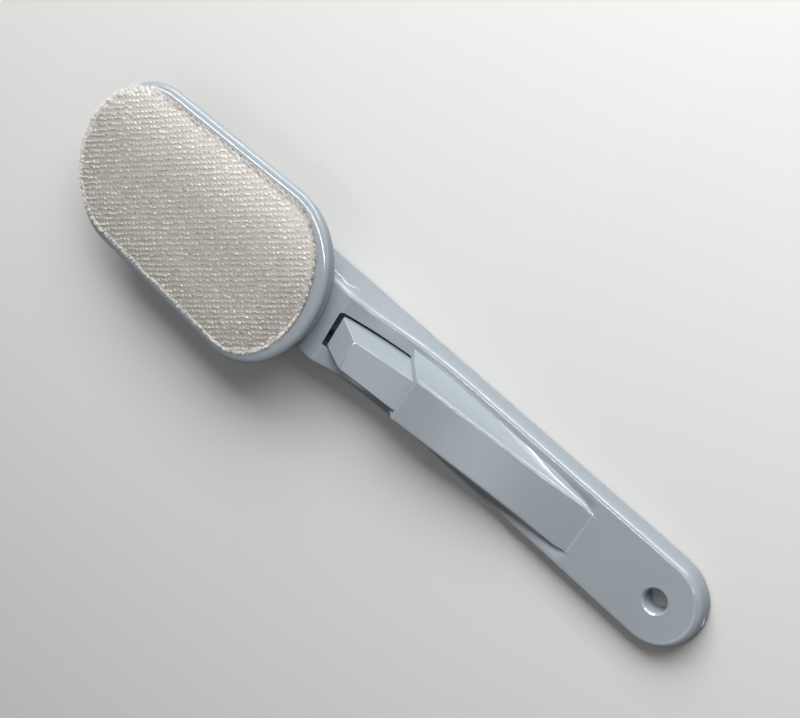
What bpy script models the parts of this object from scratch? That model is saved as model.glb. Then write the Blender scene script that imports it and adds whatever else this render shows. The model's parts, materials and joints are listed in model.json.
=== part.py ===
"""Lint brush: a hollow two-shell handle and a flat oval head that turns half a turn on its hub.

The handle lies along X with its flat underside on Z = 0 and its tail towards -X. The pile side of the
head faces up. The origin is under the middle of the whole brush. All sizes are in metres.
"""
from math import acos, cos, pi, radians, sin

import bmesh
import bpy
from mathutils import Matrix, Vector

# Overall
LENGTH = 0.2673             # from the tail's end to the head's far end
CLEAR = 0.0003              # gap left between pieces that touch

# Handle, as both shells make it
TAIL_RADIUS = 0.0164        # half the width at the hang hole, and the round tail
NECK_RADIUS = 0.0153        # half the width at the swivel axis, and the round end of the neck
GRIP_HEIGHT = 0.0069        # level top of the grip
NECK_HEIGHT = 0.0150        # level top of the neck, under the head
CREST_RISE = 0.0011         # how far the top's crest, close behind the head, stands above the neck
CREST_LENGTH = 0.0014       # length in which the crest rounds down to the neck
RISE_LENGTH = 0.0516        # length of the hollow rise between the grip and the crest
FLARE = 0.0017              # the top widens by this much to each side, up to the crest,
FLARE_LENGTH = 0.0155       # over this length
SEAM_GRIP = 0.0033          # height of the seam along the grip
SEAM_NECK = 0.0124          # height of the seam along the neck
DRAFT = 0.11                # how far the sides lean in for each unit of height
WALL = 0.0020
EDGE_ROUND = 0.0018         # rounding along the top edge
FOOT_ROUND = 0.0010         # rounding along the bottom edge
TAIL_BLOCK = 0.027          # solid length of the tail ahead of the hang hole's centre

# Hang hole
HOLE_RADIUS = 0.0040
HOLE_CHAMFER = 0.0009

# Hood: the raised, tapering ridge that the button runs in under
HOOD_TIP = 0.032            # from the hang hole's centre to the hood's low end
HOOD_FRONT_HEIGHT = 0.0179  # height of the top edge of its front face
HOOD_RAKE = 0.0093          # how far its front face leans back from the foot to the top
HOOD_TOP_HALF = 0.0092
HOOD_FOOT_HALF = 0.0115
HOOD_ROUND = 0.0006
HOOD_STEP = 0.00015         # the hood's tip stands this much above the grip
HOOD_SOLID = 0.018          # solid length at the hood's low end

# Opening that the button stands in, measured back from its front edge
OPENING_FRONT = 0.0584      # from the swivel axis back to the opening's front edge
OPENING_LENGTH = 0.0268     # from that edge to the foot of the hood's front face
OPENING_FRONT_HALF = 0.0076
OPENING_REAR_HALF = 0.0088
OPENING_CORNER = 0.0015

# Button
BUTTON_STOP = 0.00025       # gap left ahead of it when it is pushed forward
BUTTON_LENGTH = 0.0400
BUTTON_NOSE = 0.0103        # length of its sloping front face
BUTTON_TOP = 0.0212         # height of the upper edge of that face
BUTTON_NOSE_FOOT = 0.0146   # height of its lower edge
BUTTON_SLOPE = 0.2207       # fall of its top per length, towards the tail
BUTTON_TOP_FRONT_HALF = 0.0059
BUTTON_TOP_REAR_HALF = 0.0071
BUTTON_FOOT_FRONT_HALF = 0.0062
BUTTON_FOOT_REAR_HALF = 0.0088
BUTTON_FRONT_UNDER = 0.0086  # height of its underside, front and rear
BUTTON_REAR_UNDER = 0.0058
BUTTON_WALL = 0.0016
BUTTON_ROUND = 0.0005
BUTTON_SIDE_GAP = 0.00045
POST_RADIUS = 0.0030        # two posts inside the button, which stand on the bar's pegs
PEG_RADIUS = 0.0015
PEG_HEIGHT = 0.0036
POST_FROM_FRONT = (0.013, 0.029)

# Lock bar under the button, and the bowed strip under the bar
SLIDE_TRAVEL = 0.0015       # the button's whole travel towards the head
BAR_UNDERSIDE = 0.0033
BAR_THICK = 0.0018
BAR_HALF = 0.0050
BAR_TAIL = 0.0330           # from the button's front face back to the bar's tail end
TONGUE_HALF = 0.0030
TONGUE_REACH = 0.0170       # from the back of the riser to the tongue's tip
RISER_LENGTH = 0.0030
STRIP_LENGTH = 0.028
STRIP_HALF = 0.0025
STRIP_THICK = 0.0003
STRIP_BOW = 0.0004
STRIP_FROM_FRONT = 0.011    # from the opening's front edge back to the strip's middle
RAIL_WIDTH = 0.0015
RAIL_LENGTH = 0.036

# Swivel, from the head down
HUB_RADIUS = 0.0075
RING_WIDTH = 0.0042
RING_THICK = 0.0009
HUB_BOSS_THICK = 0.0022     # thickness of the neck's top round the hub
WAVE_HEIGHT = 0.0010
WAVE_THICK = 0.00035
WAVE_WIDTH = 0.0024
DISC_RADIUS = 0.0115
DISC_THICK = 0.0024
KEY_HALF = 0.0038           # square key on the hub's end, which turns the disc
WASHER_RADIUS = 0.0062
WASHER_THICK = 0.0008
PIVOT_RADIUS = 0.0018
PIVOT_HEAD_RADIUS = 0.0040
PIVOT_HEAD_HEIGHT = 0.0020

# Head outline, seen from above
HEAD_REACH = 0.0538         # from the swivel axis to either end of the head
HEAD_NEAR_HALF = 0.0344     # half the width at the end towards the handle
HEAD_FAR_HALF = 0.0321      # half the width at the far end
HEAD_NEAR_ARC = 0.0266      # length of the rounded end towards the handle
HEAD_FAR_ARC = 0.0250       # length of the rounded far end
RIM_HEIGHT = 0.0215         # top of the rim round the pad
HEAD_SEAM = 0.0190          # height of the seam between the head's halves
HEAD_ROUND = 0.0019         # rounding along the rim's outer edge
HEAD_BASE_SIDE = 0.0023     # the lower half stands in by this much at its sides,
HEAD_BASE_NEAR = 0.0001     # at the end towards the handle
HEAD_BASE_FAR = 0.0010      # and at the far end,
HEAD_BASE_TAPER = 0.0001    # and by this much more at its underside
TRAY_DEPTH = 0.0015         # recess that holds the pad
HEAD_BOSS = 0.0022          # radius of the upper half's bosses, which stand in the lower half
HEAD_BOSS_FLOOR = 0.0015    # thickness of the lower half under them
HEAD_SCREW_AHEAD = 0.031    # head screws, ahead of the swivel axis and behind it
HEAD_SCREW_ASIDE = 0.019
HEAD_SCREW_RADIUS = 0.0008
HEAD_SCREW_HEAD = 0.0018
HEAD_SCREW_HEIGHT = 0.0006
HEAD_SCREW_SUNK = 0.0001
HEAD_SCREW_BITE = 0.0014    # how far a head screw reaches into its boss

# Pad
PAD_MARGIN = 0.0030         # rim left clear at the sides
PAD_NEAR_MARGIN = 0.0048    # rim left clear at the end towards the handle
PAD_FAR_MARGIN = 0.0016     # rim left clear at the far end
BACKING_THICK = 0.0006
PAD_EDGE_THICK = 0.0009
PAD_CROWN = 0.0009

# Case screws
TAIL_SCREW = 0.020          # from the hang hole to the first
GRIP_SCREW = 0.0216         # from the button's tail end back to the second
NECK_SCREW = 0.0415         # from the swivel axis back to the other two
NECK_SCREW_HALF = 0.0098    # and half their spacing
SCREW_RADIUS = 0.0014
SCREW_HEAD_RADIUS = 0.0027
SCREW_HEAD_HEIGHT = 0.0012
SCREW_SUNK = 0.0004         # the heads lie this far above the underside
SCREW_BITE = 0.0022         # how far a screw reaches into the cover's boss
BOSS_MEET = 0.0062          # the bosses meet no higher than this, and elsewhere at the seam
COVER_BOSS = 0.0032
BASE_BOSS = 0.0042
SLOT_WIDTH = 0.0007

TAIL_X = TAIL_RADIUS - LENGTH / 2
SWIVEL_X = LENGTH / 2 - HEAD_REACH
LEVEL_X = SWIVEL_X - HEAD_REACH - CLEAR
CREST_X = LEVEL_X - CREST_LENGTH
RISE_X = CREST_X - RISE_LENGTH
OPENING_X = SWIVEL_X - OPENING_FRONT
HOOD_FOOT_X = OPENING_X - OPENING_LENGTH
HOOD_TOP_X = HOOD_FOOT_X - HOOD_RAKE
HOOD_TIP_X = TAIL_X + HOOD_TIP
BUTTON_X = OPENING_X - SLIDE_TRAVEL - BUTTON_STOP
BAR_TOP = BAR_UNDERSIDE + BAR_THICK
HEAD_UNDERSIDE = NECK_HEIGHT + CLEAR
SEAT_FLOOR = HEAD_UNDERSIDE - RING_THICK - 2 * CLEAR
BOSS_UNDERSIDE = SEAT_FLOOR - HUB_BOSS_THICK
WAVE_TOP = BOSS_UNDERSIDE - CLEAR
HUB_END = WAVE_TOP - WAVE_HEIGHT
DISC_TOP = HUB_END - CLEAR
DISC_UNDERSIDE = DISC_TOP - DISC_THICK
WASHER_TOP = DISC_UNDERSIDE - CLEAR
PIVOT_HEAD_TOP = WASHER_TOP - WASHER_THICK - CLEAR
TRAY_FLOOR = RIM_HEIGHT - TRAY_DEPTH
BACKING_TOP = TRAY_FLOOR + CLEAR + BACKING_THICK
PAD_UNDERSIDE = BACKING_TOP + CLEAR


def material(name, color, roughness, metallic=0.0):
    """Principled material of one finish."""
    made = bpy.data.materials.new(name)
    made.use_nodes = True
    shader = made.node_tree.nodes["Principled BSDF"]
    shader.inputs["Base Color"].default_value = (*color, 1.0)
    shader.inputs["Roughness"].default_value = roughness
    shader.inputs["Metallic"].default_value = metallic
    return made


def add(name, bm, finish=None, parent=None):
    """Object from a bmesh in world coordinates; hung on an empty, it keeps its place."""
    bmesh.ops.recalc_face_normals(bm, faces=bm.faces)
    mesh = bpy.data.meshes.new(name)
    bm.to_mesh(mesh)
    bm.free()
    mesh.shade_smooth()
    mesh.set_sharp_from_angle(angle=radians(30))
    if finish:
        mesh.materials.append(finish)
    made = bpy.data.objects.new(name, mesh)
    bpy.context.scene.collection.objects.link(made)
    if parent:
        mesh.transform(Matrix.Translation(-parent.location))
        made.parent = parent
    return made


def tool(name, bm, parent=None):
    """Shape that only cuts or joins another."""
    made = add(name, bm, parent=parent)
    made.hide_render = True
    made.display_type = "WIRE"
    return made


def combine(target, other, operation):
    """Boolean of two objects, kept as a modifier on the first."""
    modifier = target.modifiers.new(other.name, "BOOLEAN")
    modifier.object = other
    modifier.operation = operation
    modifier.solver = "EXACT"


def cut(target, name, bm):
    combine(target, tool(name, bm, target.parent), "DIFFERENCE")


def join(target, name, bm):
    combine(target, tool(name, bm, target.parent), "UNION")


def empty(name, location):
    made = bpy.data.objects.new(name, None)
    made.location = location
    bpy.context.scene.collection.objects.link(made)
    return made


def box(low, high):
    """Box between two corners."""
    bm = bmesh.new()
    bmesh.ops.create_cube(bm, size=1.0)
    low, high = Vector(low), Vector(high)
    size = high - low
    bmesh.ops.transform(bm, matrix=Matrix.Diagonal((*size, 1.0)), verts=bm.verts)
    bmesh.ops.translate(bm, vec=(low + high) / 2, verts=bm.verts)
    return bm


def cylinder(x, y, radius, low, high, sides=24):
    """Upright cylinder."""
    bm = bmesh.new()
    bmesh.ops.create_cone(bm, cap_ends=True, segments=sides, radius1=radius, radius2=radius,
                          depth=high - low)
    bmesh.ops.translate(bm, vec=(x, y, (low + high) / 2), verts=bm.verts)
    return bm


def turned(x, y, profile, sides=24):
    """Solid turned about an upright axis from (radius, height) points that start and end on it."""
    bm = bmesh.new()
    line = [bm.verts.new((radius, 0, height)) for radius, height in profile]
    edges = [bm.edges.new(pair) for pair in zip(line, line[1:])]
    bmesh.ops.spin(bm, geom=line + edges, axis=(0, 0, 1), cent=(0, 0, 0), angle=2 * pi, steps=sides,
                   use_merge=True)
    bmesh.ops.remove_doubles(bm, verts=bm.verts, dist=CLEAR / 30)
    bmesh.ops.translate(bm, vec=(x, y, 0), verts=bm.verts)
    return bm


def washer(x, inner, outer, low, high, sides=32):
    """Flat ring about an upright axis."""
    bm = bmesh.new()
    corners = ((inner, low), (outer, low), (outer, high), (inner, high))
    line = [bm.verts.new((radius, 0, height)) for radius, height in corners]
    edges = [bm.edges.new((line[i], line[i - 1])) for i in range(4)]
    bmesh.ops.spin(bm, geom=line + edges, axis=(0, 0, 1), cent=(0, 0, 0), angle=2 * pi, steps=sides,
                   use_merge=True)
    bmesh.ops.translate(bm, vec=(x, 0, 0), verts=bm.verts)
    return bm


def prism(profile, half):
    """Solid of one (x, height) outline, the same distance to both sides of the middle plane."""
    bm = bmesh.new()
    sides = [[bm.verts.new((x, y, z)) for x, z in profile] for y in (-half, half)]
    for side in sides:
        bm.faces.new(side)
    for i in range(len(profile)):
        bm.faces.new((sides[0][i - 1], sides[0][i], sides[1][i], sides[1][i - 1]))
    return bm


def hull(points):
    """Convex solid round some points, with its flat faces whole."""
    bm = bmesh.new()
    for point in points:
        bm.verts.new(point)
    made = bmesh.ops.convex_hull(bm, input=bm.verts)
    spare = {v for v in made["geom_interior"] + made["geom_unused"] if isinstance(v, bmesh.types.BMVert)}
    bmesh.ops.delete(bm, geom=list(spare), context="VERTS")
    bmesh.ops.dissolve_limit(bm, angle_limit=radians(0.5), verts=bm.verts, edges=bm.edges)
    return bm


def round_edges(bm, chosen, width, steps=2):
    """Round the edges that a test picks."""
    edges = [edge for edge in bm.edges if chosen(edge)]
    bmesh.ops.bevel(bm, geom=edges, offset=width, offset_type="OFFSET", segments=steps, profile=0.5,
                    affect="EDGES", material=-1)


def rise(x):
    """Share of the way up the hollow curve between the grip and the crest."""
    along = min(max(x - RISE_X, 0.0), RISE_LENGTH)
    return (along / RISE_LENGTH) ** 2


def top_height(x):
    return GRIP_HEIGHT + (NECK_HEIGHT + CREST_RISE - GRIP_HEIGHT) * rise(x)


def seam_height(x):
    return SEAM_GRIP + (SEAM_NECK - SEAM_GRIP) * rise(x) ** 1.5


def side_lean(x, height):
    """How far the side stands in, at a height, from the outline of the handle's foot."""
    share = min(max((x - CREST_X) / FLARE_LENGTH + 1, 0.0), 1.0)
    return (DRAFT - FLARE / (NECK_HEIGHT + CREST_RISE) * share ** 2 * (3 - 2 * share)) * height


def side_points(start=None, arc_steps=12, rise_steps=10):
    """One side of the handle's outline, tail to neck, as (point, outward normal, on a straight)."""
    lean = acos((TAIL_RADIUS - NECK_RADIUS) / (SWIVEL_X - TAIL_X))
    normal = Vector((cos(lean), sin(lean)))
    straight_from = Vector((TAIL_X, 0)) + normal * TAIL_RADIUS
    straight_to = Vector((SWIVEL_X, 0)) + normal * NECK_RADIUS
    stops = [RISE_X + RISE_LENGTH * i / rise_steps for i in range(rise_steps + 1)]
    points = []
    if start is None:
        for i in range(arc_steps):
            angle = pi + (lean - pi) * i / arc_steps
            out = Vector((cos(angle), sin(angle)))
            points.append((Vector((TAIL_X, 0)) + out * TAIL_RADIUS, out, False))
        stops = [straight_from.x] + stops
    else:
        stops = [start] + stops
    stops.append(straight_to.x)
    for x in stops:
        share = (x - straight_from.x) / (straight_to.x - straight_from.x)
        points.append((straight_from.lerp(straight_to, share), normal, True))
    for i in range(1, arc_steps + 1):
        angle = lean * (1 - i / arc_steps)
        out = Vector((cos(angle), sin(angle)))
        points.append((Vector((SWIVEL_X, 0)) + out * NECK_RADIUS, out, False))
    return points


def handle_block(low, high, inset=0.0, start=None):
    """Block on the handle's outline between two heights, each a function of x.

    Returns the bmesh with its lower and upper rims as closed lists of vertices.
    """
    bm = bmesh.new()
    points = side_points(start)
    rungs = [i for i, point in enumerate(points) if point[2]]
    rims = []
    for height in (low, high):
        near, far = [], []
        for point, normal, _ in points:
            place = point - normal * (inset + side_lean(point.x, height(point.x)))
            near.append(bm.verts.new((place.x, place.y, height(place.x))))
            on_axis = abs(place.y) < CLEAR / 30
            far.append(near[-1] if on_axis else bm.verts.new((place.x, -place.y, height(place.x))))
        spans = [(0, rungs[0])] if rungs[0] else []
        spans += list(zip(rungs, rungs[1:])) + [(rungs[-1], len(points) - 1)]
        for first, last in spans:
            loop = near[first:last + 1] + far[first:last + 1][::-1]
            bm.faces.new(list(dict.fromkeys(loop)))
        rims.append(list(dict.fromkeys(near + far[::-1])))
    lower, upper = rims
    for i in range(len(lower)):
        bm.faces.new((lower[i - 1], lower[i], upper[i], upper[i - 1]))
    return bm, lower, upper


def round_rim(bm, rim, width, steps=3):
    """Round the edge that runs along a closed list of vertices."""
    edges = [bm.edges.get((rim[i - 1], rim[i])) for i in range(len(rim))]
    bmesh.ops.recalc_face_normals(bm, faces=bm.faces)
    bmesh.ops.bevel(bm, geom=edges, offset=width, offset_type="OFFSET", segments=steps, profile=0.5,
                    affect="EDGES", material=-1)


def neck_step():
    """What the crest's rounded fall and the level neck leave out of the handle's top."""
    steps = 6
    end, top = SWIVEL_X + NECK_RADIUS + WALL, NECK_HEIGHT + CREST_RISE + WALL
    profile = [(CREST_X, top)]
    for i in range(steps + 1):
        angle = pi / 2 * i / steps
        profile.append((CREST_X + CREST_LENGTH * sin(angle),
                        NECK_HEIGHT + (CREST_RISE + CLEAR) * cos(angle)))
    return prism(profile + [(end, NECK_HEIGHT), (end, top)], TAIL_RADIUS)


def hood_height(x):
    """Height of the hood's sloping top."""
    tip = GRIP_HEIGHT + HOOD_STEP
    return tip + (HOOD_FRONT_HEIGHT - tip) * (x - HOOD_TIP_X) / (HOOD_TOP_X - HOOD_TIP_X)


def hood_body():
    """The hood as a solid wedge that starts inside the shell's top wall."""
    foot = GRIP_HEIGHT + HOOD_STEP
    under = GRIP_HEIGHT - WALL / 2
    end = HOOD_FOOT_HALF - HOOD_TOP_HALF
    front_slope = HOOD_RAKE / (HOOD_FRONT_HEIGHT - top_height(HOOD_FOOT_X))
    front_foot = HOOD_FOOT_X + front_slope * (top_height(HOOD_FOOT_X) - foot)
    plan = [(0, HOOD_TOP_HALF - end / 3), (end / 2, HOOD_TOP_HALF + end / 5),
            (end * 1.4, HOOD_FOOT_HALF - end / 2), (end * 2.6, HOOD_FOOT_HALF - end / 6),
            (end * 4.4, HOOD_FOOT_HALF)]
    points = []
    for side in (-1, 1):
        for along, half in plan:
            points.append((HOOD_TIP_X + along, side * half, foot))
            points.append((HOOD_TIP_X + along, side * half, under))
        points.append((front_foot, side * HOOD_FOOT_HALF, foot))
        points.append((front_foot, side * HOOD_FOOT_HALF, under))
        for along, half in ((end / 2, HOOD_TOP_HALF - end / 3), (end * 1.8, HOOD_TOP_HALF)):
            x = HOOD_TIP_X + along
            points.append((x, side * half, hood_height(x)))
        points.append((HOOD_TOP_X, side * HOOD_TOP_HALF, HOOD_FRONT_HEIGHT))
    bm = hull(points)

    def on_top(vert):
        return abs(vert.co.z - hood_height(vert.co.x)) < CLEAR / 10 and vert.co.x > HOOD_TIP_X + end

    round_edges(bm, lambda edge: all(on_top(vert) for vert in edge.verts), HOOD_ROUND)
    return bm


def hood_core():
    """The hollow inside the hood."""
    tail_x = HOOD_TIP_X + HOOD_SOLID
    points = []
    for side in (-1, 1):
        for x in (tail_x, HOOD_TOP_X - WALL):
            points.append((x, side * (HOOD_TOP_HALF - WALL), hood_height(x) - WALL))
            points.append((x, side * (HOOD_FOOT_HALF - WALL), GRIP_HEIGHT - 2 * WALL))
    return hull(points)


def button_top(x):
    return BUTTON_TOP - BUTTON_SLOPE * (BUTTON_X - BUTTON_NOSE - x)


def button_hull(grow, lift, reach=0.0, under=0.0, length=BUTTON_LENGTH):
    """The button's wedge, its sides moved out by grow, its top by lift and its nose by reach."""
    front = BUTTON_X + reach
    nose = BUTTON_X - BUTTON_NOSE + reach / 2
    rear = BUTTON_X - length
    points = []
    for side in (-1, 1):
        points.append((nose, side * (BUTTON_TOP_FRONT_HALF + grow), BUTTON_TOP + lift))
        points.append((rear, side * (BUTTON_TOP_REAR_HALF + grow), button_top(rear) + lift))
        points.append((front, side * (BUTTON_FOOT_FRONT_HALF + grow), BUTTON_NOSE_FOOT))
        points.append((front, side * (BUTTON_FOOT_FRONT_HALF + grow), BUTTON_FRONT_UNDER - under))
        points.append((rear, side * (BUTTON_FOOT_REAR_HALF + grow), BUTTON_REAR_UNDER - under))
    return hull(points)


def opening_prism():
    """The opening ahead of the hood, with rounded front corners."""
    corner = OPENING_CORNER
    points = []
    for side in (-1, 1):
        for height in (BAR_TOP, BUTTON_TOP):
            points.append((HOOD_FOOT_X - corner / 3, side * OPENING_REAR_HALF, height))
            for i in range(4):
                angle = pi / 2 * i / 3
                x = OPENING_X - corner + corner * sin(angle)
                y = OPENING_FRONT_HALF - corner + corner * cos(angle)
                points.append((x, side * y, height))
    return hull(points)


def boss_meet(x):
    return min(seam_height(x), BOSS_MEET)


def screw_places():
    """The case screws' centres, tail first."""
    neck_x = SWIVEL_X - NECK_SCREW
    return [(TAIL_X + TAIL_SCREW, 0.0), (BUTTON_X - BUTTON_LENGTH - GRIP_SCREW, 0.0),
            (neck_x, -NECK_SCREW_HALF), (neck_x, NECK_SCREW_HALF)]


def screw_hole(x, y, head_radius, neck, radius, low, high):
    """Clearance for a screw whose head, set in from below, ends at neck."""
    return turned(x, y, (
        (0, low), (head_radius + CLEAR, low), (head_radius + CLEAR, neck + CLEAR),
        (radius + CLEAR, neck + CLEAR), (radius + CLEAR, high), (0, high)), sides=20)


def make_handle_cover(plastic):
    """Upper shell, with the hood, the opening and the seat for the head."""
    bm, _, upper = handle_block(lambda x: seam_height(x) + CLEAR / 2, top_height)
    round_rim(bm, upper, EDGE_ROUND)
    cover = add("handle_cover", bm, plastic)
    cut(cover, "cover_neck_step", neck_step())
    join(cover, "cover_hood", hood_body())
    inner, _, _ = handle_block(lambda x: seam_height(x) - WALL,
                               lambda x: min(top_height(x), NECK_HEIGHT) - WALL,
                               inset=WALL, start=TAIL_X + TAIL_BLOCK)
    cut(cover, "cover_hollow", inner)
    cut(cover, "cover_hood_core", hood_core())
    cut(cover, "cover_mouth", button_hull(BUTTON_SIDE_GAP, CLEAR, under=BAR_THICK,
                                          length=BUTTON_LENGTH + WALL))
    cut(cover, "cover_opening", opening_prism())
    boss_radius = NECK_RADIUS - DRAFT * NECK_HEIGHT - WALL / 2
    join(cover, "cover_hub_boss", cylinder(SWIVEL_X, 0, boss_radius, BOSS_UNDERSIDE,
                                           NECK_HEIGHT - WALL / 2, sides=36))
    hub_hole = HUB_RADIUS + CLEAR
    seat = HUB_RADIUS + RING_WIDTH + 3 * CLEAR
    cut(cover, "cover_seat", turned(SWIVEL_X, 0, (
        (0, BOSS_UNDERSIDE - WALL), (hub_hole, BOSS_UNDERSIDE - WALL), (hub_hole, SEAT_FLOOR),
        (seat, SEAT_FLOOR), (seat, NECK_HEIGHT + WALL), (0, NECK_HEIGHT + WALL)), sides=36))
    for i, (x, y) in enumerate(screw_places()):
        low = boss_meet(x) + CLEAR / 2
        if i:
            roof = hood_height(x) if x < HOOD_TOP_X else top_height(x)
            join(cover, f"cover_boss_{i + 1}", cylinder(x, y, COVER_BOSS, low, roof - WALL / 2, sides=20))
        cut(cover, f"cover_pilot_{i + 1}", cylinder(x, y, SCREW_RADIUS + CLEAR, low - WALL,
                                                    boss_meet(x) + SCREW_BITE + CLEAR, sides=12))
    cut(cover, "cover_hang_hole", turned(TAIL_X, 0, (
        (0, 0), (HOLE_RADIUS, 0), (HOLE_RADIUS, GRIP_HEIGHT - HOLE_CHAMFER),
        (HOLE_RADIUS + HOLE_CHAMFER * 2, GRIP_HEIGHT + HOLE_CHAMFER), (0, GRIP_HEIGHT + HOLE_CHAMFER)),
        sides=32))


def make_handle_base(plastic):
    """Lower shell, with the bosses, the bar's rails and the strip's stops."""
    bm, lower, _ = handle_block(lambda x: 0.0, lambda x: seam_height(x) - CLEAR / 2)
    round_rim(bm, lower, FOOT_ROUND, steps=2)
    base = add("handle_base", bm, plastic)
    inner, _, _ = handle_block(lambda x: WALL, lambda x: seam_height(x) + WALL, inset=WALL,
                               start=TAIL_X + TAIL_BLOCK)
    cut(base, "base_hollow", inner)
    strip_x = OPENING_X - STRIP_FROM_FRONT
    stop_low, stop_high = WALL / 2, BAR_UNDERSIDE - CLEAR
    for side in (-1, 1):
        rail = sorted((side * (BAR_HALF + CLEAR), side * (BAR_HALF + CLEAR + RAIL_WIDTH)))
        name = "left" if side > 0 else "right"
        join(base, f"base_rail_{name}", box((strip_x - RAIL_LENGTH / 2, rail[0], stop_low),
                                            (strip_x + RAIL_LENGTH / 2, rail[1], BAR_TOP - CLEAR)))
        stop = strip_x + side * (STRIP_LENGTH / 2 + CLEAR + RAIL_WIDTH / 2)
        join(base, f"base_stop_{name}", box((stop - RAIL_WIDTH / 2, -STRIP_HALF, stop_low),
                                            (stop + RAIL_WIDTH / 2, STRIP_HALF, stop_high)))
    for i, (x, y) in enumerate(screw_places()):
        high = boss_meet(x) - CLEAR / 2
        if i:
            join(base, f"base_boss_{i + 1}", cylinder(x, y, BASE_BOSS, WALL / 2, high, sides=20))
        cut(base, f"base_screw_hole_{i + 1}", screw_hole(
            x, y, SCREW_HEAD_RADIUS, SCREW_SUNK + SCREW_HEAD_HEIGHT, SCREW_RADIUS, -WALL, high + WALL))
    cut(base, "base_hang_hole", turned(TAIL_X, 0, (
        (0, -HOLE_CHAMFER), (HOLE_RADIUS + HOLE_CHAMFER * 1.5, -HOLE_CHAMFER),
        (HOLE_RADIUS, HOLE_CHAMFER / 2), (HOLE_RADIUS, GRIP_HEIGHT), (0, GRIP_HEIGHT)), sides=32))


def make_screw(name, x, y, head, shank, steel, parent=None):
    """Slotted screw driven from below; head is (radius, foot, height), shank is (radius, tip)."""
    head_radius, low, height = head
    radius, tip = shank
    neck = low + height
    screw = add(name, turned(x, y, (
        (0, low), (head_radius * 0.8, low), (head_radius, low + height / 3), (head_radius, neck),
        (radius, neck), (radius, tip - radius / 2), (radius / 2, tip), (0, tip)), sides=20), steel, parent)
    depth = height / 2
    cut(screw, f"{name}_slot", box((x - SLOT_WIDTH / 2, y - head_radius * 2, low - depth),
                                   (x + SLOT_WIDTH / 2, y + head_radius * 2, low + depth)))


def make_case_screws(steel):
    """Four screws that hold the shells together."""
    for i, (x, y) in enumerate(screw_places()):
        make_screw(f"case_screw_{i + 1}", x, y, (SCREW_HEAD_RADIUS, SCREW_SUNK, SCREW_HEAD_HEIGHT),
                   (SCREW_RADIUS, boss_meet(x) + SCREW_BITE), steel)


def make_slider(slider, plastic, acetal):
    """Button, and the bar with the tongue that it stands on; both slide towards the head."""
    bm = button_hull(0, 0)
    round_edges(bm, lambda edge: all(v.co.z > BUTTON_REAR_UNDER + CLEAR for v in edge.verts)
                and edge.calc_face_angle(0) > radians(15), BUTTON_ROUND)
    button = add("lock_button", bm, plastic, slider)
    cut(button, "button_hollow", button_hull(-BUTTON_WALL, -BUTTON_WALL, -BUTTON_WALL, BAR_THICK,
                                             BUTTON_LENGTH - BUTTON_WALL))
    bar_tip = SWIVEL_X - DISC_RADIUS - CLEAR
    riser = bar_tip - TONGUE_REACH
    tongue_low = DISC_UNDERSIDE + CLEAR
    tongue_high = DISC_TOP - CLEAR
    bar = add("lock_bar", box((BUTTON_X - BAR_TAIL, -BAR_HALF, BAR_UNDERSIDE),
                              (riser + RISER_LENGTH + BAR_THICK / 2, BAR_HALF, BAR_TOP)), acetal, slider)
    run_middle = BAR_UNDERSIDE + BAR_THICK / 2
    join(bar, "bar_tongue", prism((
        (riser, run_middle), (riser + RISER_LENGTH, run_middle), (riser + RISER_LENGTH, tongue_low),
        (bar_tip, tongue_low), (bar_tip, tongue_high), (riser, tongue_high)), TONGUE_HALF))
    for i, back in enumerate(POST_FROM_FRONT):
        x = BUTTON_X - back
        join(button, f"button_post_{i + 1}", cylinder(x, 0, POST_RADIUS, BAR_TOP + CLEAR,
                                                      button_top(x) - BUTTON_WALL / 2, sides=20))
        cut(button, f"button_bore_{i + 1}", cylinder(x, 0, PEG_RADIUS + CLEAR, BAR_TOP - CLEAR,
                                                     BAR_TOP + PEG_HEIGHT + CLEAR, sides=16))
        join(bar, f"bar_peg_{i + 1}", cylinder(x, 0, PEG_RADIUS, BAR_TOP - BAR_THICK / 2,
                                               BAR_TOP + PEG_HEIGHT, sides=16))


def make_bar_spring(steel):
    """Bowed strip between the base's floor and the bar."""
    steps = 12
    middle = OPENING_X - STRIP_FROM_FRONT
    bm = bmesh.new()
    rows = []
    for i in range(steps + 1):
        along = i / steps * 2 - 1
        low = WALL + CLEAR + STRIP_BOW * (1 - along ** 2)
        x = middle + along * STRIP_LENGTH / 2
        rows.append([bm.verts.new((x, y, z)) for y, z in (
            (-STRIP_HALF, low), (STRIP_HALF, low),
            (STRIP_HALF, low + STRIP_THICK), (-STRIP_HALF, low + STRIP_THICK))])
    for a, b in zip(rows, rows[1:]):
        for i in range(4):
            bm.faces.new((a[i - 1], a[i], b[i], b[i - 1]))
    bm.faces.new(rows[0])
    bm.faces.new(rows[-1])
    add("bar_spring", bm, steel)


def head_ring(bm, height, side, near=None, far=None, arc_steps=26):
    """Closed ring on the head's outline, moved in by side, and at its two ends by near and far."""
    near = side if near is None else near
    far = side if far is None else far
    near_x = SWIVEL_X - HEAD_REACH + HEAD_NEAR_ARC
    far_x = SWIVEL_X + HEAD_REACH - HEAD_FAR_ARC
    ring = []
    for i in range(arc_steps + 1):
        angle = pi / 2 + pi * i / arc_steps
        ring.append(bm.verts.new((near_x + (HEAD_NEAR_ARC - near) * cos(angle),
                                  (HEAD_NEAR_HALF - side) * sin(angle), height)))
    for i in range(arc_steps + 1):
        angle = -pi / 2 + pi * i / arc_steps
        ring.append(bm.verts.new((far_x + (HEAD_FAR_ARC - far) * cos(angle),
                                  (HEAD_FAR_HALF - side) * sin(angle), height)))
    return ring


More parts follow.
